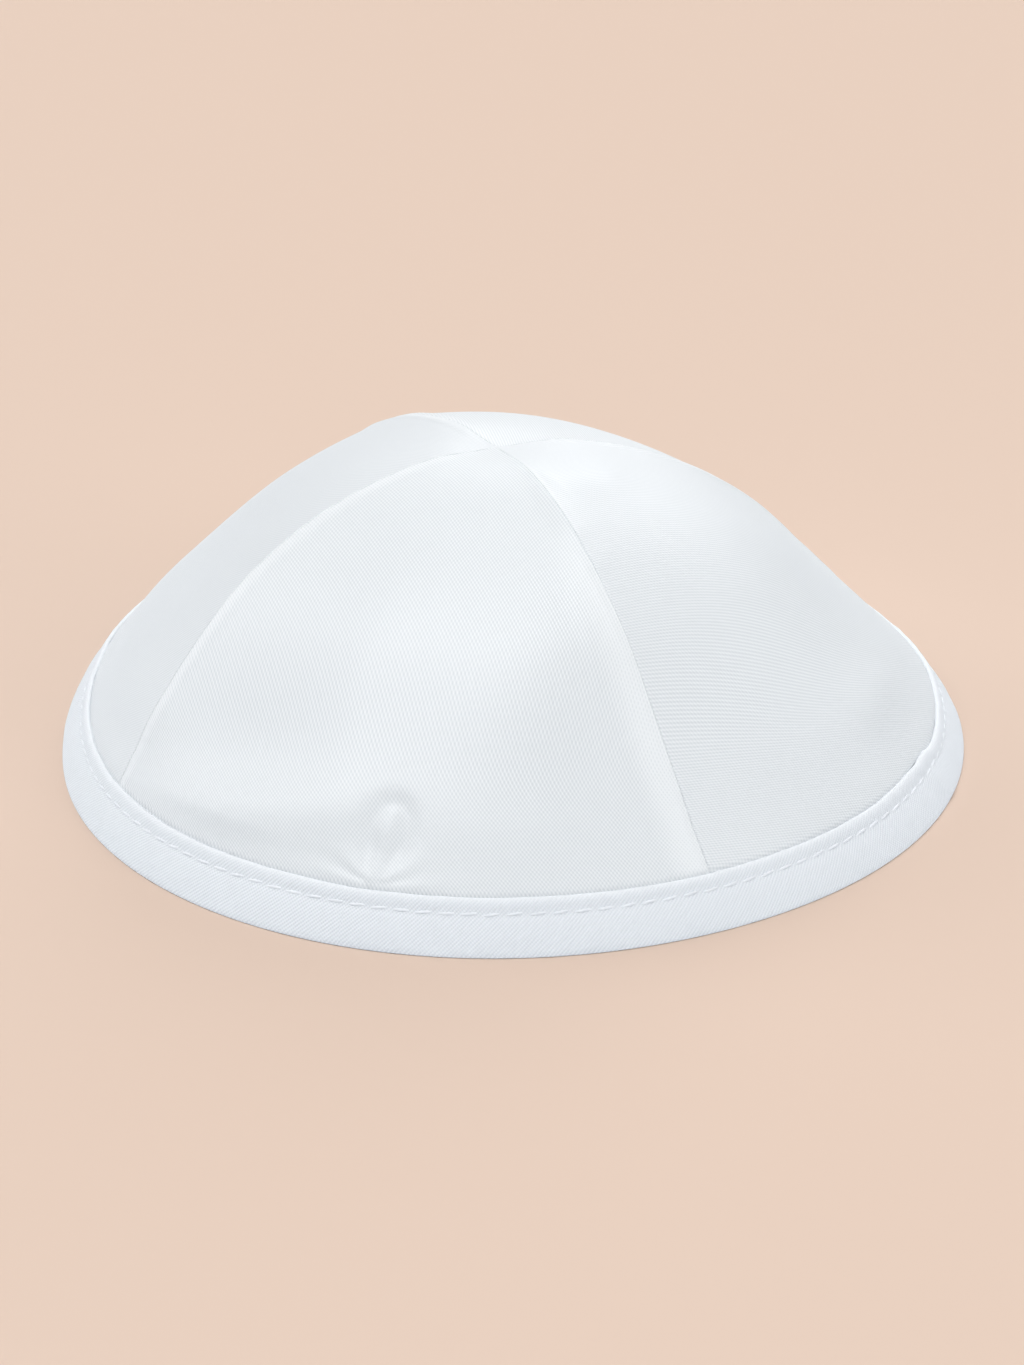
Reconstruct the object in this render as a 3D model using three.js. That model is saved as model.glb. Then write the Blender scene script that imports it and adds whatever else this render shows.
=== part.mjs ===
// A four-gore skullcap whose rim is bound with folded bias tape. It stands on that rim.
// Millimetres, +Z up. The origin is the centre of the rim's underside, and the middle of the
// front gore faces -Y. Angles go round +Z from -Y towards +X.

import * as THREE from "three";

// Driving sizes.
const rimRadius = 84; // outer radius of the bound rim, where it stands
const crownHeight = 52.8; // height of the point where the four gores meet
const apex = { x: -1.2, y: -1.4 }; // that point lies a little off the rim's centre
const clothWall = 1.0; // satin with its backing
const gap = 0.3; // clearance between neighbouring pieces
const tipRadius = 1.2; // the gores stop this far short of the apex

// The tape is folded in two round the gores' lower edges, as a channel open upwards.
const binding = {
  rise: 8.1, // height of its top edge
  lean: 5.5, // its top edge is this far inside its foot
  wall: 1.0,
  foldRound: 0.8, // rounding of the folded foot
  lipRound: 0.35, // rounding of the two top edges
  innerRise: 0.82, // height of the inner leaf as a share of the outer one
  floor: 1.2, // height of the channel's floor
  sides: 96,
};

// The rim isn't quite round: each row swells it towards so many sides, by a share of its radius.
const outOfRound = [
  { sides: 2, share: 0.018, towards: 21 },
  { sides: 3, share: 0.01, towards: -21 },
];

// Where it is flattened (or, if negative, swollen) a little: towards which angle, over what
// half width, by what share.
const flattened = [
  { towards: 134, halfWidth: 18, share: 0.018 },
  { towards: -68, halfWidth: 20, share: 0.014 },
  { towards: 75, halfWidth: 25, share: -0.008 },
];

const goreGrid = { columns: 20, crownRows: 17, tailRows: 2 };

// Down a seam, from the apex (0) to the tape's top edge (1): distance from the axis, height,
// and how straight the cloth is pulled between two seams (1 is a flat chord, 0 a round arc).
const seamProfile = [
  { down: 0.0, radius: 0.0, height: crownHeight, flatness: 0.2 },
  { down: 0.2, radius: 16.8, height: 51.9, flatness: 0.2 },
  { down: 0.4, radius: 33.6, height: 47.0, flatness: 0.2 },
  { down: 0.6, radius: 50.4, height: 37.0, flatness: 0.14 },
  { down: 0.76, radius: 65.5, height: 21.8, flatness: 0.02 },
  { down: 0.9, radius: 72.9, height: 13.6, flatness: 0.0 },
  { down: 1.0, radius: 77.0, height: 8.1, flatness: 0.0 },
];

// The four seams in order: where each meets the rim, how far it has turned by the apex, and
// how far it swells outwards and upwards halfway down.
const seams = [
  { angle: -39.5, lean: -2.8, out: 2.9, up: -0.5 },
  { angle: 42.6, lean: -2.8, out: -0.8, up: 1.2 },
  { angle: 131.7, lean: 0, out: -0.5, up: -2 },
  { angle: 230, lean: 2, out: -0.3, up: -0.2 },
];

// Each gore lies between a seam and the next one. fullness is how far its middle swells out.
const gores = [
  { name: "gore_front", from: 0, fullness: 0, color: 0xe9eef3 },
  { name: "gore_right", from: 1, fullness: 0.3, color: 0xe4eaef },
  { name: "gore_back", from: 2, fullness: 1.4, color: 0xe0e7ec },
  { name: "gore_left", from: 3, fullness: -0.6, color: 0xdfe6eb },
];

// Folds and dents: where each is (across 0 to 1 between the seams, down 0 to 1), its half width
// across and half length down, how far it stands out (or in, if negative), and its turn.
const folds = {
  gore_front: [
    { across: 0.25, down: 0.765, wide: 19, long: 10, height: -1.8, turn: -14 },
    { across: 0.29, down: 0.895, wide: 19, long: 7.5, height: 1.1, turn: -18 },
    { across: 0.78, down: 0.66, wide: 15, long: 12, height: 1.9, turn: 0 },
    { across: 0.75, down: 0.88, wide: 18, long: 8, height: 0.7, turn: 0 },
    { across: 0.42, down: 0.7, wide: 8, long: 16, height: 0.8, turn: 0 },
    { across: 0.75, down: 0.36, wide: 12, long: 8, height: -0.9, turn: 0 },
  ],
  gore_right: [
    { across: 0.5, down: 0.83, wide: 14, long: 7, height: 1, turn: 0 },
    { across: 0.35, down: 0.25, wide: 12, long: 7, height: 0.8, turn: 0 },
  ],
  gore_back: [{ across: 0.55, down: 0.7, wide: 22, long: 16, height: -1.5, turn: 0 }],
  gore_left: [
    { across: 0.6, down: 0.58, wide: 14, long: 16, height: -0.9, turn: 0 },
    { across: 0.75, down: 0.86, wide: 14, long: 7, height: 0.5, turn: 0 },
  ],
};
const seamLength = 95; // from the apex to the tape
const foldFade = { seam: 0.1, tape: 0.08 }; // folds die out this near a seam and the tape

// Smooth value of one column of a table at a place down the seam.
function along(table, column, down) {
  const next = table.findIndex((row) => row.down > down);
  const k = next < 0 ? table.length - 2 : Math.max(0, next - 1);
  const slope = (j) => {
    const a = table[Math.max(0, j - 1)];
    const b = table[Math.min(table.length - 1, j + 1)];
    return (b[column] - a[column]) / (b.down - a.down);
  };
  const span = table[k + 1].down - table[k].down;
  const s = (down - table[k].down) / span;
  const hermite = [
    (1 + 2 * s) * (1 - s) ** 2,
    s * (1 - s) ** 2,
    s * s * (3 - 2 * s),
    s * s * (s - 1),
  ];
  return (
    hermite[0] * table[k][column] +
    hermite[1] * span * slope(k) +
    hermite[2] * table[k + 1][column] +
    hermite[3] * span * slope(k + 1)
  );
}

// A direction or point given by its angle, its distance from the axis and its height.
function around(angle, radius, height) {
  const turn = THREE.MathUtils.degToRad(angle);
  return new THREE.Vector3(radius * Math.sin(turn), -radius * Math.cos(turn), height);
}

// The same for a place on the cap, whose rim is a little out of round.
function onCap(angle, radius, height) {
  let swell = 1;
  for (const row of outOfRound) {
    swell += row.share * Math.cos(THREE.MathUtils.degToRad(row.sides * (angle - row.towards)));
  }
  for (const row of flattened) {
    const away = THREE.MathUtils.euclideanModulo(angle - row.towards + 180, 360) - 180;
    swell -= row.share * Math.exp(-((away / row.halfWidth) ** 2));
  }
  return around(angle, radius * swell, height);
}

const smooth = (x) => THREE.MathUtils.smoothstep(x, 0, 1);

// How far the folds of a gore move its cloth outwards at one place.
function foldHeight(name, across, down, halfSpan) {
  const edge = Math.min(across, 1 - across) / foldFade.seam;
  const fade = smooth(edge) * smooth((1 - down) / foldFade.tape);
  return folds[name].reduce((sum, fold) => {
    const x = (across - fold.across) * 2 * halfSpan;
    const y = (down - fold.down) * seamLength;
    const turn = THREE.MathUtils.degToRad(fold.turn);
    const u = (x * Math.cos(turn) + y * Math.sin(turn)) / fold.wide;
    const v = (y * Math.cos(turn) - x * Math.sin(turn)) / fold.long;
    return sum + fade * fold.height * Math.exp(-u * u - v * v);
  }, 0);
}

// One place on a gore: its outer point, and the direction through the wall, which two
// neighbouring gores share along their seam. inset is the width left free at each seam.
function crownPlace(gore, share, down, inset) {
  const left = seams[gore.from];
  const right = seams[(gore.from + 1) % seams.length];
  const wrap = gore.from + 1 === seams.length ? 360 : 0;
  const start = left.angle + left.lean * (1 - down);
  const span = right.angle + wrap + right.lean * (1 - down) - start;
  const seamRadius = along(seamProfile, "radius", down);
  const spanRadians = THREE.MathUtils.degToRad(span);
  const edge = inset / (seamRadius * spanRadians);
  const across = edge + (1 - 2 * edge) * share;

  const swell = Math.sin(Math.PI * down);
  const half = spanRadians / 2;
  const chord = 1 - Math.cos(half) / Math.cos((across - 0.5) * spanRadians);
  const out = left.out * (1 - across) + right.out * across;
  const up = left.up * (1 - across) + right.up * across;
  const flat = 1 - along(seamProfile, "flatness", down) * chord;
  const full = gore.fullness * swell * Math.sin(Math.PI * across);
  const radius = (seamRadius + out * swell) * flat + full;
  const height = along(seamProfile, "height", down) + up * swell;

  const angle = start + span * across;
  const point = onCap(angle, radius, height);
  point.x += apex.x * (1 - down);
  point.y += apex.y * (1 - down);

  const step = 0.02;
  const lower = Math.min(1, down + step);
  const upper = Math.max(0, down - step);
  const run = along(seamProfile, "radius", lower) - along(seamProfile, "radius", upper);
  const drop = along(seamProfile, "height", upper) - along(seamProfile, "height", lower);
  const inwards = around(angle, -drop, -run).normalize();
  const fold = foldHeight(gore.name, across, down, seamRadius * half);
  return { point: point.addScaledVector(inwards, -fold), inwards, angle };
}

// The tape's section: up along its leaf, and in through its thickness.
const leafAngle = Math.atan2(binding.lean, binding.rise);
const leafLength = Math.hypot(binding.lean, binding.rise);
const tapeDepth = 2 * binding.wall + 2 * gap + clothWall;

function tapePoint(angle, up, inside) {
  const radius = rimRadius - up * Math.sin(leafAngle) - inside * Math.cos(leafAngle);
  return onCap(angle, radius, up * Math.cos(leafAngle) - inside * Math.sin(leafAngle));
}

// How far up the leaf a given height is, at a given depth in the tape.
function leafUp(height, inside) {
  return (height + inside * Math.sin(leafAngle)) / Math.cos(leafAngle);
}

// A closed body between an outer and an inner grid of points, both [row][column].
function wallBetween(outer, inner) {
  const rows = outer.length;
  const columns = outer[0].length;
  const positions = [...outer.flat(), ...inner.flat()].flatMap((p) => p.toArray());
  const at = (side, row, column) => side * rows * columns + row * columns + column;
  const index = [];
  const quad = (a, b, c, d) => index.push(a, b, c, a, c, d);
  for (let r = 0; r < rows - 1; r++) {
    for (let c = 0; c < columns - 1; c++) {
      quad(at(0, r, c), at(0, r + 1, c), at(0, r + 1, c + 1), at(0, r, c + 1));
      quad(at(1, r, c), at(1, r, c + 1), at(1, r + 1, c + 1), at(1, r + 1, c));
    }
  }
  for (let r = 0; r < rows - 1; r++) {
    quad(at(0, r, 0), at(1, r, 0), at(1, r + 1, 0), at(0, r + 1, 0));
    const c = columns - 1;
    quad(at(0, r, c), at(0, r + 1, c), at(1, r + 1, c), at(1, r, c));
  }
  for (let c = 0; c < columns - 1; c++) {
    quad(at(0, 0, c), at(0, 0, c + 1), at(1, 0, c + 1), at(1, 0, c));
    const r = rows - 1;
    quad(at(0, r, c), at(1, r, c), at(1, r, c + 1), at(0, r, c + 1));
  }
  return closedGeometry(positions, index);
}

// A closed ring: each section is a loop of points, and the last section joins the first.
function ringOf(sections) {
  const count = sections.length;
  const loop = sections[0].length;
  const positions = sections.flat().flatMap((p) => p.toArray());
  const index = [];
  for (let s = 0; s < count; s++) {
    const next = (s + 1) % count;
    for (let i = 0; i < loop; i++) {
      const j = (i + 1) % loop;
      const [a, b] = [s * loop + i, next * loop + i];
      const [c, d] = [next * loop + j, s * loop + j];
      index.push(a, b, c, a, c, d);
    }
  }
  return closedGeometry(positions, index);
}

function closedGeometry(positions, index) {
  const geometry = new THREE.BufferGeometry();
  geometry.setAttribute("position", new THREE.Float32BufferAttribute(positions, 3));
  geometry.setIndex(index);
  geometry.computeVertexNormals();
  return geometry;
}

// A gore: rows from its tip to the tape, then a tail that runs down inside the tape.
function goreGeometry(gore) {
  const { columns, crownRows, tailRows } = goreGrid;
  const shares = Array.from({ length: columns + 1 }, (_, i) => i / columns);
  const tip = (tipRadius / seamProfile[1].radius) * seamProfile[1].down;
  const outer = [];
  const inner = [];
  for (let r = 0; r <= crownRows; r++) {
    const down = tip + (1 - tip) * (r / crownRows);
    const places = shares.map((share) => crownPlace(gore, share, down, gap / 2));
    outer.push(places.map((place) => place.point));
    inner.push(
      places.map((place) => place.point.clone().addScaledVector(place.inwards, clothWall)),
    );
  }
  const outside = binding.wall + gap;
  for (let r = 1; r <= tailRows; r++) {
    const height = binding.floor + gap;
    const top = leafUp(binding.rise, 0);
    const foot = leafUp(height, outside + clothWall);
    const up = top + (foot - top) * (r / tailRows);
    const angles = shares.map((share) => crownPlace(gore, share, 1, gap / 2).angle);
    outer.push(angles.map((angle) => tapePoint(angle, up, outside)));
    inner.push(angles.map((angle) => tapePoint(angle, up, outside + clothWall)));
  }
  return wallBetween(outer, inner);
}

// The tape: outer leaf, channel and inner leaf in one closed section, on a flat foot.
function bindingGeometry() {
  const { wall, foldRound, lipRound, floor, rise, innerRise, sides } = binding;
  const innerTop = leafLength * innerRise;
  const section = [
    [leafUp(0, foldRound), foldRound],
    [foldRound, 0],
    [leafLength - lipRound, 0],
    [leafLength, lipRound],
    [leafLength, wall - lipRound / 2],
    [leafLength - lipRound, wall],
    [leafUp(floor, wall), wall],
    [leafUp(floor, tapeDepth - wall), tapeDepth - wall],
    [innerTop, tapeDepth - wall],
    [innerTop, tapeDepth - lipRound],
    [innerTop - lipRound, tapeDepth],
    [leafUp(0, tapeDepth), tapeDepth],
  ];
  const sections = Array.from({ length: sides }, (_, i) => {
    const angle = (i / sides) * 360;
    return section.map(([up, inside]) => tapePoint(angle, up, inside));
  });
  return ringOf(sections);
}

function clothMaterial(color, roughness) {
  return new THREE.MeshStandardMaterial({ color, roughness, metalness: 0 });
}

const cap = new THREE.Group();
for (const gore of gores) {
  const mesh = new THREE.Mesh(goreGeometry(gore), clothMaterial(gore.color, 0.42));
  mesh.name = gore.name;
  cap.add(mesh);
}
const rimBinding = new THREE.Mesh(bindingGeometry(), clothMaterial(0xdde4ea, 0.85));
rimBinding.name = "rim_binding";
cap.add(rimBinding);

// The origin is the middle of the rim's box, which being out of round has moved a little.
const middle = new THREE.Box3().setFromObject(rimBinding).getCenter(new THREE.Vector3());
cap.position.set(-middle.x, -middle.y, 0);

export default cap;
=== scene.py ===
import math

import bpy
import numpy as np
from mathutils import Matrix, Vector


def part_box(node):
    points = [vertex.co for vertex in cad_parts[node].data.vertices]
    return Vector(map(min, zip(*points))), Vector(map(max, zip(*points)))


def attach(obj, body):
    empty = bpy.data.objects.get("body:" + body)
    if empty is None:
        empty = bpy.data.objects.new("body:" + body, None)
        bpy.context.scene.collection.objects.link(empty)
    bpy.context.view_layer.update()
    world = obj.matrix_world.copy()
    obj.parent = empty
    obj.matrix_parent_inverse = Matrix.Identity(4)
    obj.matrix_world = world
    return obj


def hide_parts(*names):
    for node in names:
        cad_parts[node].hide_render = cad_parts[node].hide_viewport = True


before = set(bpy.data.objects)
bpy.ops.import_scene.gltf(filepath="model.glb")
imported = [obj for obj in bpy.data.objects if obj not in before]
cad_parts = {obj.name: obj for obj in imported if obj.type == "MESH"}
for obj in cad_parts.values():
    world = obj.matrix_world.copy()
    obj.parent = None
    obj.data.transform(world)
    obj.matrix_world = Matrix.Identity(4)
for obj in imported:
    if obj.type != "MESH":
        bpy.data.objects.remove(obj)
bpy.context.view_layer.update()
mm = 0.001

cap = {
    "rimRadius": 84.0,  # outer radius of the bound rim, where it stands
    "apex": (-1.2, -1.4),  # the gores meet a little off the rim's centre
    "outOfRound": [(2, 0.018, 21), (3, 0.010, -21)],  # (sides, share of the radius, towards)
    "flattened": [(134, 18, 0.018), (-68, 20, 0.014), (75, 25, -0.008)],  # (towards, half width, share)
    "seamLength": 95.0,  # from the apex to the tape
}

# Down a seam, from the apex (0) to the tape's top edge (1): distance from the axis, height,
# and how straight the cloth is pulled between two seams.
seamProfile = {
    "down": [0.0, 0.2, 0.4, 0.6, 0.76, 0.9, 1.0],
    "radius": [0.0, 16.8, 33.6, 50.4, 65.5, 72.9, 77.0],
    "height": [52.8, 51.9, 47.0, 37.0, 21.8, 13.6, 8.1],
    "flatness": [0.2, 0.2, 0.2, 0.14, 0.02, 0.0, 0.0],
}

# Each seam: where it meets the rim, how far it has turned by the apex, how far it swells
# outwards and upwards halfway down, and the seed of its puckers.
seams = [
    {"angle": -39.5, "lean": -2.8, "out": 2.9, "up": -0.5, "seed": 3},
    {"angle": 42.6, "lean": -2.8, "out": -0.8, "up": 1.2, "seed": 8},
    {"angle": 131.7, "lean": 0.0, "out": -0.5, "up": -2.0, "seed": 15},
    {"angle": 230.0, "lean": 2.0, "out": -0.3, "up": -0.2, "seed": 21},
]


def smooth(x):
    x = np.clip(x, 0, 1)
    return x * x * (3 - 2 * x)


# A smooth curve through one column of the seam profile.
def along(column, down):
    place = np.array(seamProfile["down"])
    value = np.array(seamProfile[column])
    slope = np.empty_like(value)
    slope[1:-1] = (value[2:] - value[:-2]) / (place[2:] - place[:-2])
    slope[0] = (value[1] - value[0]) / (place[1] - place[0])
    slope[-1] = (value[-1] - value[-2]) / (place[-1] - place[-2])
    k = np.clip(np.searchsorted(place, down, side="right") - 1, 0, len(place) - 2)
    span = place[k + 1] - place[k]
    s = (down - place[k]) / span
    start = (1 + 2 * s) * (1 - s) ** 2 * value[k] + s * (1 - s) ** 2 * span * slope[k]
    return start + s * s * (3 - 2 * s) * value[k + 1] + s * s * (s - 1) * span * slope[k + 1]


# Angles go round +Z from -Y towards +X.
def around(angle, radius, height):
    turn = np.radians(angle)
    x, y, z = np.broadcast_arrays(radius * np.sin(turn), -radius * np.cos(turn), height)
    return np.stack([x, y, z], axis=-1)


def onCap(angle, radius, height):
    swell = 1 + sum(
        share * np.cos(np.radians(sides * (angle - towards)))
        for sides, share, towards in cap["outOfRound"]
    )
    for towards, halfWidth, share in cap["flattened"]:
        away = (angle - towards + 180) % 360 - 180
        swell = swell - share * np.exp(-((away / halfWidth) ** 2))
    return around(angle, radius * swell, height)


# The rim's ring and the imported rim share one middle.
ring = onCap(np.arange(0, 360, 3.75), cap["rimRadius"], 0.0)
low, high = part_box("rim_binding")
shift = np.array([*((low + high).xy / 2 / mm), 0.0]) - (ring.min(0) + ring.max(0)) / 2


# Uneven ups and downs, one every period on average, between about -1 and 1.
def unevenness(place, period, seed):
    levels = np.random.default_rng(seed).uniform(-1, 1, 512)
    at = np.asarray(place) / period + 200
    k = np.floor(at).astype(int)
    s = smooth(at - k)
    return levels[k % 512] * (1 - s) + levels[(k + 1) % 512] * s


def meshFrom(name, points, faces, uv=None):
    mesh = bpy.data.meshes.new(name)
    mesh.from_pydata([tuple(p) for p in points * mm], [], faces)
    if uv is not None:
        layer = mesh.uv_layers.new(name="cloth")
        corners = np.empty(len(mesh.loops), np.int32)
        mesh.loops.foreach_get("vertex_index", corners)
        layer.data.foreach_set("uv", (uv[corners] * mm).astype(np.float32).ravel())
    mesh.update()
    piece = bpy.data.objects.new(name, mesh)
    bpy.context.scene.collection.objects.link(piece)
    bpy.ops.object.select_all(action="DESELECT")
    bpy.context.view_layer.objects.active = piece
    piece.select_set(True)
    bpy.ops.object.shade_smooth()
    return piece


# One socket of a node tree. Operators on it add Math nodes.
class Shade:
    def __init__(self, tree, socket=None):
        self.tree = tree
        self.socket = socket

    def node(self, kind, settings=None, inputs=None, output=0):
        made = self.tree.nodes.new(kind)
        for name, value in (settings or {}).items():
            setattr(made, name, value)
        for name, value in (inputs or {}).items():
            if isinstance(value, Shade):
                self.tree.links.new(value.socket, made.inputs[name])
            else:
                made.inputs[name].default_value = value
        return Shade(self.tree, made.outputs[output])

    def math(self, operation, *values):
        return self.node("ShaderNodeMath", {"operation": operation}, dict(enumerate(values)))

    def __add__(self, other):
        return self.math("ADD", self, other)

    def __sub__(self, other):
        return self.math("SUBTRACT", self, other)

    def __rsub__(self, other):
        return self.math("SUBTRACT", other, self)

    def __mul__(self, other):
        return self.math("MULTIPLY", self, other)

    __radd__ = __add__
    __rmul__ = __mul__

    def sine(self):
        return self.math("SINE", self)

    def clamp(self):
        return self.node("ShaderNodeClamp", {}, {"Value": self})


def newMaterial(name):
    material = bpy.data.materials.new(name)
    material.use_nodes = True
    tree = material.node_tree
    shader = tree.nodes["Principled BSDF"]
    return material, tree, shader


def mixColours(shade, factor, first, second):
    settings = {"data_type": "RGBA", "clamp_factor": True}
    return shade.node(
        "ShaderNodeMix", settings, {"Factor": factor, 6: (*first, 1), 7: (*second, 1)}, output=2
    )


# Height of two crossing sets of ribs, as a value between about -1 and 1. Angles are in the
# cloth's own map, from across towards down.
def ribs(shade, u, v, look):
    total = None
    for angle, pitch, share in look["ribs"]:
        turn = math.radians(angle)
        turns = 2 * math.pi / (pitch * mm)
        phase = v * (math.cos(turn) * turns) - u * (math.sin(turn) * turns)
        wave = phase.sine() * share
        total = wave if total is None else total + wave
    return total


def clothMaterial(name, look):
    material, tree, shader = newMaterial(name)
    shade = Shade(tree)
    cloth = shade.node("ShaderNodeUVMap", {"uv_map": "cloth"})
    u = shade.node("ShaderNodeSeparateXYZ", {}, {"Vector": cloth}, output=0)
    v = shade.node("ShaderNodeSeparateXYZ", {}, {"Vector": cloth}, output=1)
    weave = ribs(shade, u, v, look)
    body = shade.node("ShaderNodeTexCoord", output=3)
    blotch = shade.node(
        "ShaderNodeTexNoise", {}, {"Vector": body, "Scale": look["blotchScale"], "Detail": 3.0}
    )
    slub = shade.node(
        "ShaderNodeTexNoise", {}, {"Vector": body, "Scale": look["slubScale"], "Detail": 2.0}
    )
    # This attribute paints the cloth whiter in bands beside the seams, partly for cloth doubled by the
    # allowance and partly as a painted highlight. It also paints a highlight along the tape's fold
    # crest.
    doubledAndHighlight = shade.node("ShaderNodeAttribute", {"attribute_name": "doubledAndHighlight"}, output=2)
    tone = (weave * look["weaveTone"] + (blotch - 0.5) * look["blotchTone"]
            + (slub - 0.5) * look["slubTone"] + doubledAndHighlight * look["doubledAndHighlightTone"] + look["tone"])
    colour = mixColours(shade, tone.clamp(), look["shadeColour"], look["lightColour"])
    tree.links.new(colour.socket, shader.inputs["Base Color"])
    rough = (blotch - 0.5) * look["roughSpread"] + (weave * look["roughWeave"] + look["rough"])
    tree.links.new(rough.socket, shader.inputs["Roughness"])
    height = weave + (slub - 0.5) * look["slubHeight"]
    bump = shade.node(
        "ShaderNodeBump", {}, {"Height": height, "Strength": look["bump"],
                               "Distance": look["bumpHeight"] * mm}
    )
    tree.links.new(bump.socket, shader.inputs["Normal"])
    shader.inputs["IOR"].default_value = look["ior"]
    shader.inputs["Sheen Weight"].default_value = look["sheen"]
    shader.inputs["Sheen Roughness"].default_value = look["sheenRough"]
    return material


satinLook = {
    "ribs": [(52, 0.53, 0.6), (-68, 0.55, 0.4)],
    "lightColour": (0.89, 0.91, 0.925),
    "shadeColour": (0.70, 0.73, 0.755),
    "tone": 0.45,
    # How much whiter the cloth is painted in the bands beside the seams: partly doubled cloth, partly a
    # painted highlight.
    "doubledAndHighlightTone": 0.5,
    "weaveTone": 0.55,
    "blotchScale": 55.0,
    "blotchTone": 0.12,
    "slubScale": 900.0,
    "slubTone": 0.10,
    "slubHeight": 0.4,
    "rough": 0.50,
    "roughSpread": 0.08,
    "roughWeave": 0.04,
    "ior": 1.9,
    "bump": 0.35,
    "bumpHeight": 0.05,
    "sheen": 0.0,
    "sheenRough": 0.35,
}
tapeLook = dict(
    satinLook,
    ribs=[(-45, 0.52, 0.75), (45, 0.40, 0.25)],
    lightColour=(0.89, 0.915, 0.945),
    shadeColour=(0.76, 0.79, 0.83),
    rough=0.72,
    # Strength of the painted highlight along the tape's fold crest.
    doubledAndHighlightTone=0.9,
    ior=1.5,
    bump=0.5,
    bumpHeight=0.07,
    sheen=0.1,
    sheenRough=0.5,
)


def threadMaterial(name):
    material, tree, shader = newMaterial(name)
    shade = Shade(tree)
    body = shade.node("ShaderNodeTexCoord", output=3)
    fibre = shade.node("ShaderNodeTexNoise", {}, {"Vector": body, "Scale": 1500.0})
    colour = mixColours(shade, fibre, (0.78, 0.81, 0.86), (0.93, 0.945, 0.965))
    tree.links.new(colour.socket, shader.inputs["Base Color"])
    bump = shade.node("ShaderNodeBump", {}, {"Height": fibre, "Strength": 0.4,
                                             "Distance": 0.05 * mm})
    tree.links.new(bump.socket, shader.inputs["Normal"])
    shader.inputs["Roughness"].default_value = 0.45
    return material


goreCloth = {
    "columns": 210,
    "rows": 190,
    # (below the tape's top edge, depth in the tape, share of that edge's wander)
    "tail": [(0.0, 0.56, 1), (0.25, 0.74, 1), (0.6, 0.92, 1), (1.6, 1.0, 0.5), (6.0, 1.2, 0)],
    "edgeBunching": 0.5,  # 1 spaces the columns evenly, less crowds them at the seams
    "tip": 0.05,  # the gores stop this far short of the apex
    "wall": 1.0,
    "foldFade": (0.1, 0.08),  # folds die out this near a seam and this near the tape
    "seamRoll": 0.26,  # radius over which an edge turns in at its seam
    "rollStarts": 0.03,
    "rollWeakens": {"by": 0.6, "from": 0.35, "over": 0.3},  # down the seam
    "bandRise": 1.8,  # the allowance band comes up over this much cloth beside a seam
    "allowance": 6.0,  # width of cloth turned back inside each seam
    "allowanceEdge": 0.6,
    "allowanceStarts": 0.15,
    "allowanceWall": 0.4,
    "tailMapStart": 0.8,  # how far the cloth's map runs on where it dives into the tape
    "tailInside": 2.0,  # the wall's inner side is at least this deep in the tape
    "pucker": {"height": 0.07, "period": 3.4, "reach": 3.0, "drag": 0.45, "starts": 0.1},
    "undulation": {"height": 0.10, "period": 19.0, "turns": (10, 75, 130), "fromSeam": 12},
    # The seams stand up a little between the gores.
    "ridge": {"height": 0.8, "reach": 7.0, "starts": 0.15, "eases": 0.7, "over": 0.3},
    "tapeTouch": 0.68,  # the cloth comes out this far to lie against the tape
    "touch": {"starts": 0.9, "over": 0.1},
    "flat": (0.136, 0.108),  # the rectangle that a gore is cut from
}

# fullness: how far a gore's middle swells out. bands: the cloth doubled by the allowance beside a seam,
# raised and painted whiter, the whitening partly a painted highlight (side, width, height, how much
# whiter, where it starts and ends down the seam).
# folds: (across, down, half width, half length, height, turn).
gores = {
    "gore_front": {
        "from": 0, "fullness": 0.0, "seed": 4, "grain": 0,
        "bands": [("right", 6.5, 0.35, 1.0, 0.30, 1.3), ("left", 2.4, 0.15, 0.8, 0.0, 1.3)],
        "folds": [
            (0.25, 0.765, 19, 10, -1.8, -14), (0.29, 0.895, 19, 7.5, 1.1, -18),
            (0.78, 0.66, 15, 12, 1.9, 0), (0.75, 0.88, 18, 8, 0.7, 0),
            (0.42, 0.70, 8, 16, 0.8, 0), (0.75, 0.36, 12, 8, -0.9, 0),
        ],
    },
    "gore_right": {
        "from": 1, "fullness": 0.3, "seed": 9, "grain": -17,
        "bands": [("left", 5.0, 0.10, 0.45, 0.04, 0.50), ("right", 1.6, 0.18, 0.5, 0.0, 1.3)],
        "folds": [(0.50, 0.83, 14, 7, 1.0, 0), (0.35, 0.25, 12, 7, 0.8, 0)],
    },
    "gore_back": {
        "from": 2, "fullness": 1.4, "seed": 14, "grain": 12,
        "bands": [("right", 2.0, 0.22, 0.6, 0.0, 1.3)],
        "folds": [(0.55, 0.70, 22, 16, -1.5, 0)],
    },
    "gore_left": {
        "from": 3, "fullness": -0.6, "seed": 27, "grain": -6,
        "bands": [("left", 2.0, 0.22, 0.8, 0.0, 1.3)],
        "folds": [(0.60, 0.58, 14, 16, -0.9, 0), (0.75, 0.86, 14, 7, 0.5, 0)],
    },
}

# Creases that fan out from one point where the tape's stitching caught the front gore.
catch = {
    "across": 0.517, "down": 1.0, "reach": 9.0, "height": 0.16, "rays": 9,
    "below": 0.5,  # the creases point to a place this far under the tape's edge
    "plain": 1.5,  # no creases within this distance of it
}
# The pinch that stands above it: a drop-shaped groove round a raised core.
pinch = {
    "tall": 18.3, "wide": 2.9, "widest": 0.64, "drift": 1.7, "groove": 1.9, "depth": 0.72,
    "core": 0.06, "coreUp": 11.5, "coreWide": 1.8, "coreTall": 5.0,
    "starts": 1, "over": 8,  # the groove deepens from here upwards
    "steps": 60,  # points down each side of its outline
}


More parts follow.
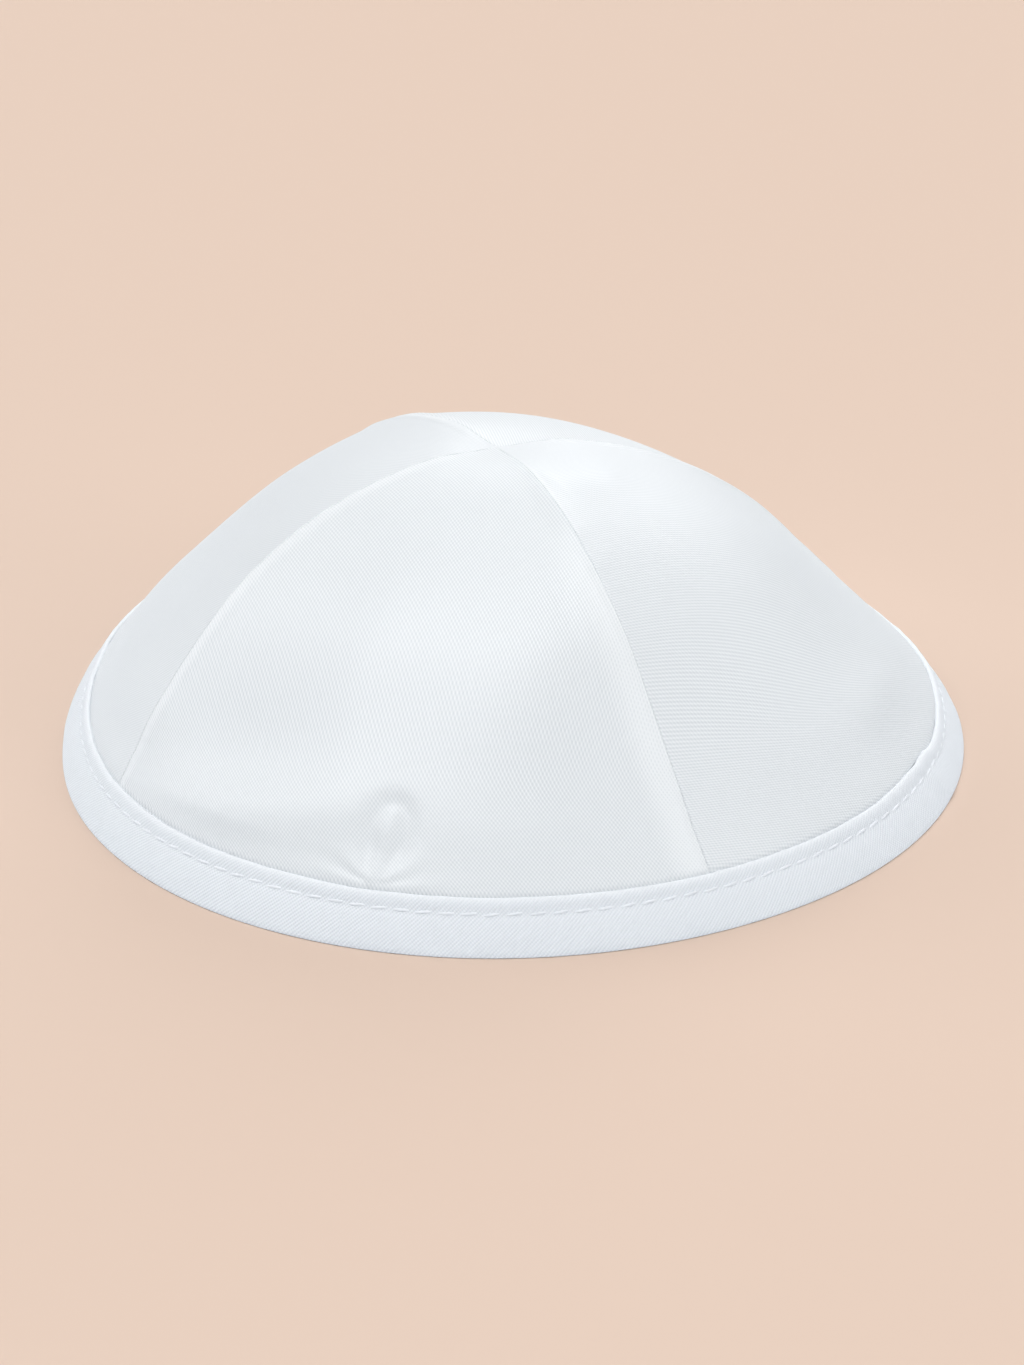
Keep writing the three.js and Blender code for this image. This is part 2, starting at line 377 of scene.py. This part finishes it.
def foldHeight(gore, across, down, halfWidth):
    fromSeam, fromTape = goreCloth["foldFade"]
    fade = smooth(np.minimum(across, 1 - across) / fromSeam) * smooth((1 - down) / fromTape)
    total = 0
    for atAcross, atDown, wide, long, height, turn in gore["folds"]:
        x = (across - atAcross) * 2 * halfWidth
        y = (down - atDown) * cap["seamLength"]
        cos, sin = math.cos(math.radians(turn)), math.sin(math.radians(turn))
        u = (x * cos + y * sin) / wide
        v = (y * cos - x * sin) / long
        total = total + height * np.exp(-u * u - v * v)
    return total * fade


# 1 between two places down a seam, easing to 0 beyond them.
def partOf(down, start, end):
    ease = 0.3
    return smooth((down - start) / ease) * smooth((end - down) / ease)


# How much whiter the cloth is painted beside the seams, from 0 to 1: partly for the cloth doubled by
# the seam allowance, partly a painted highlight.
def doubledClothAndHighlight(gore, across, down, width):
    total = 0 * across
    for side, bandWidth, _, whiterAndHighlight, start, end in gore["bands"]:
        far = (across if side == "left" else 1 - across) * width
        edge = 1 - smooth((far - bandWidth * 0.3) / (bandWidth * 0.9))
        total = total + whiterAndHighlight * edge * partOf(down, start, end)
    return np.clip(total, 0, 1)


# What the seams do to the cloth beside them: edges rolled in, allowance bands and puckers.
def seamHeight(gore, across, down, width):
    total = 0
    weakens, ridge, pucker = (goreCloth[part] for part in ("rollWeakens", "ridge", "pucker"))
    left, right = ("left", across, gore["from"]), ("right", 1 - across, gore["from"] + 1)
    for side, share, seam in (left, right):
        far = share * width
        eased = 1 - weakens["by"] * smooth((down - weakens["from"]) / weakens["over"])
        roll = goreCloth["seamRoll"] * smooth(down / goreCloth["rollStarts"]) * eased
        inside = np.maximum(roll - far, 0)
        total = total - (roll - np.sqrt(np.maximum(roll**2 - inside**2, 0)))
        for bandSide, bandWidth, bandHeight, _, start, end in gore["bands"]:
            if bandSide == side:
                falls = 1 - smooth((far - bandWidth * 0.6) / (bandWidth * 0.8))
                edge = smooth(far / goreCloth["bandRise"]) * falls
                total = total + bandHeight * edge * partOf(down, start, end)
        eases = 1 - smooth((down - ridge["eases"]) / ridge["over"])
        held = smooth(down / ridge["starts"]) * eases
        total = total + ridge["height"] * np.exp(-far / ridge["reach"]) * held
        place = down * cap["seamLength"] + pucker["drag"] * far
        wave = unevenness(place, pucker["period"], seams[seam % 4]["seed"])
        near = np.exp(-((far / pucker["reach"]) ** 2)) * smooth(down / pucker["starts"])
        total = total + pucker["height"] * wave * near
    return total


# The slow unevenness of soft cloth, from waves that run three ways.
def undulation(gore, x, y):
    soft = goreCloth["undulation"]
    total = 0
    for k, turn in enumerate(soft["turns"]):
        cos, sin = math.cos(math.radians(turn)), math.sin(math.radians(turn))
        total = total + unevenness(x * cos + y * sin, soft["period"], gore["seed"] + k)
    return soft["height"] * total


# The creases and the pinch, as height above the front gore.
def catchHeight(across, down, halfWidth):
    x = (across - catch["across"]) * 2 * halfWidth
    y = (catch["down"] - down) * cap["seamLength"]
    far = np.hypot(x, y)
    turn = np.arctan2(x, y + catch["below"])
    wave = np.cos(turn * catch["rays"])
    creases = catch["height"] * wave * np.exp(-((far / catch["reach"]) ** 2))
    creases = creases * smooth(far / catch["plain"])

    share = np.linspace(0, 1, pinch["steps"])
    crown = np.maximum(share / pinch["widest"] - 1, 0) / (1 / pinch["widest"] - 1)
    wide = pinch["wide"] * np.minimum(share / pinch["widest"], 1) ** 0.7 * np.sqrt(1 - crown**2)
    middle = pinch["drift"] * share
    away = np.full(np.shape(x), np.inf)
    for edgeX, edgeY in zip([*(middle - wide), *(middle + wide)], [*share, *share]):
        away = np.minimum(away, np.hypot(x - edgeX, y - edgeY * pinch["tall"]))
    deepens = smooth((y - pinch["starts"]) / pinch["over"])
    groove = pinch["depth"] * np.exp(-((away / pinch["groove"]) ** 2)) * deepens
    coreX = (x - pinch["drift"] * pinch["coreUp"] / pinch["tall"]) / pinch["coreWide"]
    coreY = (y - pinch["coreUp"]) / pinch["coreTall"]
    return creases - groove + pinch["core"] * np.exp(-coreX * coreX - coreY * coreY)


# Places on a gore: outer points, the direction through the wall, the angle round the cap, the map of
# the flat cloth, the distance to the nearer seam and how much whiter the cloth is painted there, for
# doubled cloth and a painted highlight.
def gorePlaces(name, across, down):
    gore = gores[name]
    left, right = seams[gore["from"]], seams[(gore["from"] + 1) % 4]
    wrap = 360 if gore["from"] == 3 else 0
    start = left["angle"] + left["lean"] * (1 - down)
    span = right["angle"] + wrap + right["lean"] * (1 - down) - start
    spanRadians = np.radians(span)
    seamRadius = along("radius", down)
    width = seamRadius * spanRadians

    swell = np.sin(math.pi * down)
    chord = 1 - np.cos(spanRadians / 2) / np.cos((across - 0.5) * spanRadians)
    out = left["out"] * (1 - across) + right["out"] * across
    up = left["up"] * (1 - across) + right["up"] * across
    full = gore["fullness"] * swell * np.sin(math.pi * across)
    radius = (seamRadius + out * swell) * (1 - along("flatness", down) * chord) + full
    height = along("height", down) + up * swell
    angle = start + span * across
    points = onCap(angle, radius, height)
    points[..., :2] += np.array(cap["apex"]) * (1 - down)[..., None]

    step = 0.02
    lower, upper = np.minimum(1, down + step), np.maximum(0, down - step)
    run = along("radius", lower) - along("radius", upper)
    drop = along("height", upper) - along("height", lower)
    inwards = around(angle, -drop, -run)
    inwards /= np.linalg.norm(inwards, axis=-1, keepdims=True)

    # The gore unrolled: each row is an arc whose centre lies up the slant.
    slope = run / np.hypot(run, drop)
    turn = (across - 0.5) * spanRadians * slope
    slant = seamRadius / slope
    mapDown = down * cap["seamLength"] - slant * (1 - np.cos(turn))
    uv = np.stack([slant * np.sin(turn), mapDown], -1)

    lift = foldHeight(gore, across, down, width / 2)
    lift = lift + seamHeight(gore, across, down, width)
    touch, reach = goreCloth["touch"], goreCloth["undulation"]["fromSeam"]
    soft = smooth(np.minimum(across, 1 - across) * width / reach)
    soft = soft * smooth((1 - down) / touch["over"])
    lift = lift + undulation(gore, uv[..., 0], uv[..., 1]) * soft
    comesOut = smooth((down - touch["starts"]) / touch["over"])
    lift = lift + goreCloth["tapeTouch"] * comesOut
    if name == "gore_front":
        lift = lift + catchHeight(across, down, width / 2)
    points = points - inwards * lift[..., None]
    far = np.minimum(across, 1 - across) * width
    doubledAndHighlight = doubledClothAndHighlight(gore, across, down, width)
    return points + shift, inwards, angle, uv, far, doubledAndHighlight


tape = {
    "rise": 8.1,  # height of its top edge
    "lean": 5.5,  # its top edge is this far inside its foot
    "cloth": 0.38,
    "fold": 0.46,  # radius of the fold along each top edge
    "depth": 3.6,  # from the outer face of one leaf to that of the other
    "turnedUnder": 4.2,
    "innerRise": 0.82,
    "footRound": 0.8,
    "stitchLine": 2.65,  # below the top edge
    "stitches": 141,
    "columnsPerStitch": 8,
    "stitchShare": 0.98,  # length of a stitch as a share of the pitch
    "joinAngle": 86.0,
    # The tape's fold crest gets a painted highlight: its colour is made whiter there.
    "crestHighlightAt": 4.7,  # along the section, where the fold's crest is whiter
    "crestHighlightWide": 0.6,
    "flat": (0.029, 0.53),
}
# The outer leaf's relief. Each height or depth is followed by how far it spreads.
tapeForm = {
    "upperPuff": 0.22, "puffBelow": 1.2, "puffWide": 1.0,
    "belly": 0.30,
    "groove": 0.16, "grooveWide": 0.6,
    "dip": 0.10, "dipWide": 0.45, "dipLong": 0.09,  # at the needle's holes
    "between": 0.05, "betweenWide": 1.4,
    "pitch": 4.1,  # cloth to a stitch, for the two kinds of lumps
    "drag": 0.07, "dragPeriod": 3.1, "dragLean": 0.8, "dragSeed": 31,
    "lumps": 0.10, "lumpsPeriod": 9.0, "lumpsLean": 0.5, "lumpsSeed": 35,
    "join": 0.18, "joinWide": 1.2, "joinLean": 0.5,
}
# The top edge's wander: (height, period, seed) of its waves, and the jog where the ends meet.
tapeEdge = {"slow": (0.10, 11.0, 41), "quick": (0.05, 4.1, 43), "jog": 0.45, "jogReach": 9.0}
leafAngle = math.atan2(tape["lean"], tape["rise"])
leafLength = math.hypot(tape["lean"], tape["rise"])


# A place in the tape's section: how far up its leaf, and how far in through its thickness.
def tapePoint(angle, up, inside):
    radius = cap["rimRadius"] - up * math.sin(leafAngle) - inside * math.cos(leafAngle)
    return onCap(angle, radius, up * math.cos(leafAngle) - inside * math.sin(leafAngle)) + shift


def leafUp(height, inside):
    return (height + inside * math.sin(leafAngle)) / math.cos(leafAngle)


def makeGore(name):
    cloth = goreCloth
    half = np.linspace(0, 1, cloth["columns"] // 2 + 1)
    bunch = cloth["edgeBunching"]
    half = (bunch * half + (1 - bunch) * half**2) / 2
    share = np.concatenate([half, 1 - half[-2::-1]])
    tip = cloth["tip"] / seamProfile["radius"][1] * seamProfile["down"][1]
    downs = tip + (1 - tip) * np.linspace(0, 1, cloth["rows"] + 1)
    across, down = np.meshgrid(share, downs)
    points, inwards, angle, uv, far, doubledAndHighlight = gorePlaces(name, across, down)

    # Inside, the wall is thicker where the seam allowance is turned back.
    turned = 1 - smooth((far - cloth["allowance"]) / cloth["allowanceEdge"])
    starts = smooth(down / cloth["allowanceStarts"])
    wall = cloth["wall"] + cloth["allowanceWall"] * turned * starts
    innerPoints = points + inwards * wall[..., None]

    # The tail runs down inside the tape.
    rows, innerRows, uvRows, doubledAndHighlightRows = [points], [innerPoints], [uv], [doubledAndHighlight]
    for below, outside, follows in cloth["tail"]:
        up = leafLength - below + follows * edgeWander(angle[-1:])
        rows.append(tapePoint(angle[-1:], up, outside))
        innerDepth = max(outside + cloth["wall"], cloth["tailInside"])
        innerRows.append(tapePoint(angle[-1:], up, innerDepth))
        runOn = below + cloth["tailMapStart"]
        uvRows.append(uv[-1:] + np.stack([0 * up, runOn + 0 * up], -1))
        doubledAndHighlightRows.append(doubledAndHighlight[-1:])
    outer, inner, flat = (np.concatenate(x) for x in (rows, innerRows, uvRows))
    doubledAndHighlight = np.concatenate(doubledAndHighlightRows).ravel()

    count, wide = outer.shape[:2]
    index = np.arange(count * wide).reshape(count, wide)
    under = index + count * wide
    faces = []
    for r in range(count - 1):
        for c in range(wide - 1):
            faces.append((index[r, c], index[r + 1, c], index[r + 1, c + 1], index[r, c + 1]))
            faces.append((under[r, c], under[r, c + 1], under[r + 1, c + 1], under[r + 1, c]))
        faces.append((index[r, 0], under[r, 0], under[r + 1, 0], index[r + 1, 0]))
        faces.append((index[r, -1], index[r + 1, -1], under[r + 1, -1], under[r, -1]))
    for c in range(wide - 1):
        faces.append((index[0, c], index[0, c + 1], under[0, c + 1], under[0, c]))
        faces.append((index[-1, c], under[-1, c], under[-1, c + 1], index[-1, c + 1]))
    places = np.concatenate([outer.reshape(-1, 3), inner.reshape(-1, 3)])
    maps = np.concatenate([flat.reshape(-1, 2)] * 2)
    piece = meshFrom(name + "_cloth", places, [tuple(map(int, f)) for f in faces], maps)
    # How much whiter each point is painted: doubled cloth beside the seams and a painted highlight.
    layer = piece.data.attributes.new("doubledAndHighlight", "FLOAT", "POINT")
    layer.data.foreach_set("value", np.concatenate([doubledAndHighlight, doubledAndHighlight]).astype(np.float32))

    grain = gores[name]["grain"]
    look = dict(satinLook, ribs=[(a + grain, p, s) for a, p, s in satinLook["ribs"]])
    piece.data.materials.append(clothMaterial("satin_" + name, look))
    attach(piece, "root")
    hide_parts(name)
    return piece


# How far out the tape's outer leaf stands at one place. phase counts stitches.
def tapeRelief(up, phase, angle):
    form = tapeForm
    line = leafLength - tape["stitchLine"]
    beat = phase - np.floor(phase)
    hole = np.minimum(np.abs(beat - 0.5 + tape["stitchShare"] / 2),
                      np.abs(beat - 0.5 - tape["stitchShare"] / 2))
    groove = np.exp(-(((up - line) / form["grooveWide"]) ** 2))
    dip = np.exp(-(((up - line) / form["dipWide"]) ** 2) - (hole / form["dipLong"]) ** 2)
    puffLine = leafLength - form["puffBelow"]
    upperPuff = np.exp(-(((up - puffLine) / form["puffWide"]) ** 2))
    belly = np.sin(math.pi * np.clip(up / line, 0, 1))
    between = np.cos(2 * math.pi * (beat - 0.5))
    run = phase * form["pitch"]
    drag = unevenness(run + up * form["dragLean"], form["dragPeriod"], form["dragSeed"])
    lumps = unevenness(run - up * form["lumpsLean"], form["lumpsPeriod"], form["lumpsSeed"])
    drag, lumps = drag * form["drag"], lumps * form["lumps"]
    relief = form["upperPuff"] * upperPuff + form["belly"] * belly
    relief = relief - form["groove"] * groove - form["dip"] * dip
    spread = np.exp(-(((up - line) / form["betweenWide"]) ** 2))
    relief = relief - form["between"] * between * spread
    relief = relief + (drag + lumps) * smooth(up / 2) * (1 - groove * 0.5)
    join = (angle - tape["joinAngle"] + up * form["joinLean"]) / form["joinWide"]
    return relief + form["join"] * np.exp(-join * join)


# How far the top edge wanders up or down its leaf.
def edgeWander(angle):
    place = np.radians(angle) * cap["rimRadius"]
    past = angle - tape["joinAngle"]
    jog = tapeEdge["jog"] * np.tanh(-past) * np.exp(-((past / tapeEdge["jogReach"]) ** 2))
    slow, quick = (
        height * unevenness(place, period, seed)
        for height, period, seed in (tapeEdge["slow"], tapeEdge["quick"])
    )
    return slow + quick + jog


# Rows of the tape's visible face: up, inside, the share of the outer relief, of the wander.
def tapeSection():
    fold, depth = tape["fold"], tape["depth"]
    rows = [
        (leafLength - tape["turnedUnder"], 2 * fold, 1, 0.3),
        (leafLength - 2.0, 2 * fold, 1, 0.7),
    ]
    for turn in np.linspace(0, 180, 8):
        side = math.radians(turn)
        up = leafLength - fold + fold * math.sin(side)
        rows.append((up, fold + fold * math.cos(side), 1, 1))
    for up in np.linspace(leafLength - 0.9, tape["footRound"], 14):
        rows.append((up, 0.0, 1, smooth((up - 4) / 4)))
    corner = np.array([0.0, 0.0])
    first = np.array([tape["footRound"], 0.0])
    last = np.array([leafUp(0, tape["footRound"]), tape["footRound"]])
    for s in np.linspace(0, 1, 6)[1:]:
        place = (1 - s) ** 2 * first + 2 * s * (1 - s) * corner + s * s * last
        rows.append((place[0], place[1], 0, 0))
    rows.append((leafUp(0, depth), depth, 0, 0))
    innerTop = leafLength * tape["innerRise"]
    for up in np.linspace(leafUp(0, depth) + 0.8, innerTop - fold, 4):
        rows.append((up, depth, 0, 0))
    for turn in (45, 90, 135, 180):
        side = math.radians(turn)
        up = innerTop - fold + fold * math.sin(side)
        rows.append((up, depth - fold + fold * math.cos(side), 0, 0))
    rows.append((innerTop - tape["turnedUnder"], depth - 2 * fold, 0, 0))
    return np.array(rows)


def makeTape():
    rows = tapeSection()
    count = tape["stitches"] * tape["columnsPerStitch"]
    phase = np.arange(count) / tape["columnsPerStitch"]
    angle = phase * 360 / tape["stitches"]
    up, inside, share, wander = (rows[:, k][:, None] for k in range(4))
    phases = np.broadcast_to(phase, (len(rows), count))
    angles = np.broadcast_to(angle, (len(rows), count))
    relief = tapeRelief(up, phases, angles) * share
    places = tapePoint(angles, up + wander * edgeWander(angles), inside - relief)
    lengths = np.concatenate([[0], np.cumsum(np.hypot(*np.diff(rows[:, :2], axis=0).T))])

    faces, uv = [], []
    rimLength = 2 * math.pi * cap["rimRadius"]
    for c in range(count):
        beside = (c + 1) % count
        left, right = c / count * rimLength, (c + 1) / count * rimLength
        for r in range(len(rows) - 1):
            this, below = r * count, (r + 1) * count
            faces.append((this + c, below + c, below + beside, this + beside))
            uv += [(left, lengths[r]), (left, lengths[r + 1])]
            uv += [(right, lengths[r + 1]), (right, lengths[r])]
    piece = meshFrom("rim_tape", places.reshape(-1, 3), faces)
    layer = piece.data.uv_layers.new(name="cloth")
    layer.data.foreach_set("uv", (np.array(uv) * mm).astype(np.float32).ravel())
    wall = piece.modifiers.new("cloth", "SOLIDIFY")
    wall.thickness = tape["cloth"] * mm
    wall.offset = -1
    bpy.ops.object.modifier_apply(modifier=wall.name)
    # Solidify has doubled the vertices and kept their order.
    # A painted highlight along the fold's crest, put into the cloth's colour.
    edge = np.exp(-(((lengths - tape["crestHighlightAt"]) / tape["crestHighlightWide"]) ** 2))
    crestHighlight = np.tile(np.repeat(edge, count), 2)
    layer = piece.data.attributes.new("doubledAndHighlight", "FLOAT", "POINT")
    layer.data.foreach_set("value", crestHighlight.astype(np.float32))
    piece.data.materials.append(clothMaterial("tape_twill", tapeLook))
    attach(piece, "root")
    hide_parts("rim_binding")
    return piece


thread = {
    "radius": 0.25, "sides": 8, "cuts": 5,
    "lineShare": 0.68,  # share of the tape's lean that lies under the row
    "taper": 0.45, "sink": 0.36,  # a stitch's ends thin and dive into the tape
    "proud": 0.04,
    "tilt": -6.0, "tiltSpread": 2.5,
    "wander": 0.06, "seed": 52,
}


def makeStitches():
    rowRadius = cap["rimRadius"] - tape["lean"] * thread["lineShare"]
    pitch = 2 * math.pi * rowRadius / tape["stitches"]
    length = pitch * tape["stitchShare"]
    line = leafLength - tape["stitchLine"]

    # One stitch along X: a short thread whose ends dive into the tape.
    bpy.ops.object.select_all(action="DESELECT")
    bpy.ops.mesh.primitive_cylinder_add(
        vertices=thread["sides"], radius=thread["radius"] * mm, depth=length * mm,
        end_fill_type="TRIFAN", rotation=(0, math.pi / 2, 0)
    )
    stitch = bpy.context.object
    bpy.ops.object.transform_apply(location=False, rotation=True, scale=True)
    bpy.ops.object.mode_set(mode="EDIT")
    for k in range(1, thread["cuts"] + 1):
        bpy.ops.mesh.select_all(action="SELECT")
        cut = (k / (thread["cuts"] + 1) - 0.5) * length * mm
        bpy.ops.mesh.bisect(plane_co=(cut, 0, 0), plane_no=(1, 0, 0))
    bpy.ops.object.mode_set(mode="OBJECT")
    shape = np.array([v.co for v in stitch.data.vertices]) / mm
    reach = np.abs(shape[:, 0]) / (length / 2)
    shape[:, 1:] *= (1 - thread["taper"] * reach**4)[:, None]
    shape[:, 2] -= thread["sink"] * reach**4
    shape[:, 2] += thread["proud"]

    random = np.random.default_rng(thread["seed"])
    copies = []
    for k in range(tape["stitches"]):
        angle = (k + 0.5) * 360 / tape["stitches"]
        relief = float(tapeRelief(np.array(line), np.array(k + 0.5), np.array(angle)))
        wander = random.uniform(-thread["wander"], thread["wander"])
        tiltBy = random.uniform(-thread["tiltSpread"], thread["tiltSpread"])
        tilt = math.radians(thread["tilt"] + tiltBy)
        centre = tapePoint(angle, line + wander, -relief)
        ahead = tapePoint(angle + 1, line, 0) - tapePoint(angle - 1, line, 0)
        ahead /= np.linalg.norm(ahead)
        outwards = tapePoint(angle, line, -1) - tapePoint(angle, line, 0)
        outwards -= ahead * (outwards @ ahead)
        outwards /= np.linalg.norm(outwards)
        upwards = np.cross(outwards, ahead)
        lengthwise = ahead * math.cos(tilt) - upwards * math.sin(tilt)
        sideways = np.cross(outwards, lengthwise)
        copy = stitch.copy()
        copy.data = stitch.data.copy()
        bpy.context.scene.collection.objects.link(copy)
        places = centre + shape[:, :1] * lengthwise + shape[:, 1:2] * sideways
        places = places + shape[:, 2:] * outwards
        copy.data.vertices.foreach_set("co", (places * mm).astype(np.float32).ravel())
        copies.append(copy)
    bpy.data.objects.remove(stitch)
    bpy.ops.object.select_all(action="DESELECT")
    for copy in copies:
        copy.select_set(True)
    bpy.context.view_layer.objects.active = copies[0]
    bpy.ops.object.join()
    piece = bpy.context.object
    piece.name = "rim_stitches"
    bpy.ops.object.shade_smooth()
    piece.data.materials.append(threadMaterial("thread"))
    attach(piece, "root")
    return piece


view = {
    "azimuth": 18.0, "elevation": 27.1, "distance": 504.0, "lens": 72.3,
    "shift": (0.0010, 0.0234),
}
studio = {
    "world": (0.98, 0.99, 1.0), "worldStrength": 0.04,
    "softAngle": 34,  # how wide each soft box looks from the cap, in degrees
    "floor": (0.735, 0.570, 0.468), "floorBounce": (0.93, 0.94, 0.96), "floorRadius": 4,
    # (name, azimuth, elevation, strength)
    "softBoxes": [
        ("front", 18, 30, 0.47), ("frontHigh", -40, 60, 0.98), ("left", -95, 30, 0.73),
        ("right", 75, 30, 0.68), ("overhead", 0, 90, 0.96), ("back", 180, 30, 0.84),
        ("backLeft", -150, 30, 0.20), ("backRight", 130, 30, 0.34),
    ],
}


# From the cap towards a place in the studio, by its azimuth and elevation in degrees.
def direction(azimuth, elevation):
    turn, rise = math.radians(azimuth), math.radians(elevation)
    return Vector((math.sin(turn) * math.cos(rise), -math.cos(turn) * math.cos(rise), math.sin(rise)))


def makeCamera():
    back = direction(view["azimuth"], view["elevation"])
    data = bpy.data.cameras.new("camera")
    data.lens = view["lens"]
    data.shift_x, data.shift_y = view["shift"]
    camera = bpy.data.objects.new("camera", data)
    bpy.context.scene.collection.objects.link(camera)
    camera.location = back * view["distance"] * mm
    camera.rotation_euler = (-back).to_track_quat("-Z", "Y").to_euler()
    bpy.context.scene.camera = camera


def makeStudio():
    scene = bpy.context.scene
    scene.view_settings.view_transform = "Standard"
    scene.world = scene.world or bpy.data.worlds.new("studio")
    scene.world.use_nodes = True
    background = scene.world.node_tree.nodes["Background"]
    background.inputs["Color"].default_value = (*studio["world"], 1)
    background.inputs["Strength"].default_value = studio["worldStrength"]
    for name, azimuth, elevation, strength in studio["softBoxes"]:
        data = bpy.data.lights.new(name, "SUN")
        data.angle = math.radians(studio["softAngle"])
        data.energy = strength
        data.color = studio["world"]
        lamp = bpy.data.objects.new(name, data)
        lamp.rotation_euler = direction(azimuth, elevation).to_track_quat("Z", "Y").to_euler()
        scene.collection.objects.link(lamp)

    bpy.ops.object.select_all(action="DESELECT")
    bpy.ops.mesh.primitive_circle_add(
        vertices=64, radius=studio["floorRadius"], fill_type="NGON"
    )
    floor = bpy.context.object
    floor.name = "floor"
    material, tree, shader = newMaterial("floor_paper")
    shader.inputs["Roughness"].default_value = 1.0
    shader.inputs["Specular IOR Level"].default_value = 0.0
    # The paper is peach to look at, and throws neutral light back on the cap.
    seen = Shade(tree).node("ShaderNodeLightPath")
    colour = mixColours(Shade(tree), seen, studio["floorBounce"], studio["floor"])
    tree.links.new(colour.socket, shader.inputs["Base Color"])
    floor.data.materials.append(material)


makeCamera()
makeStudio()
print("camera and studio made")
tapePiece = makeTape()
print("tape made")
for goreName in gores:
    makeGore(goreName)
    print(goreName, "made")
stitches = makeStitches()
print("stitches made")
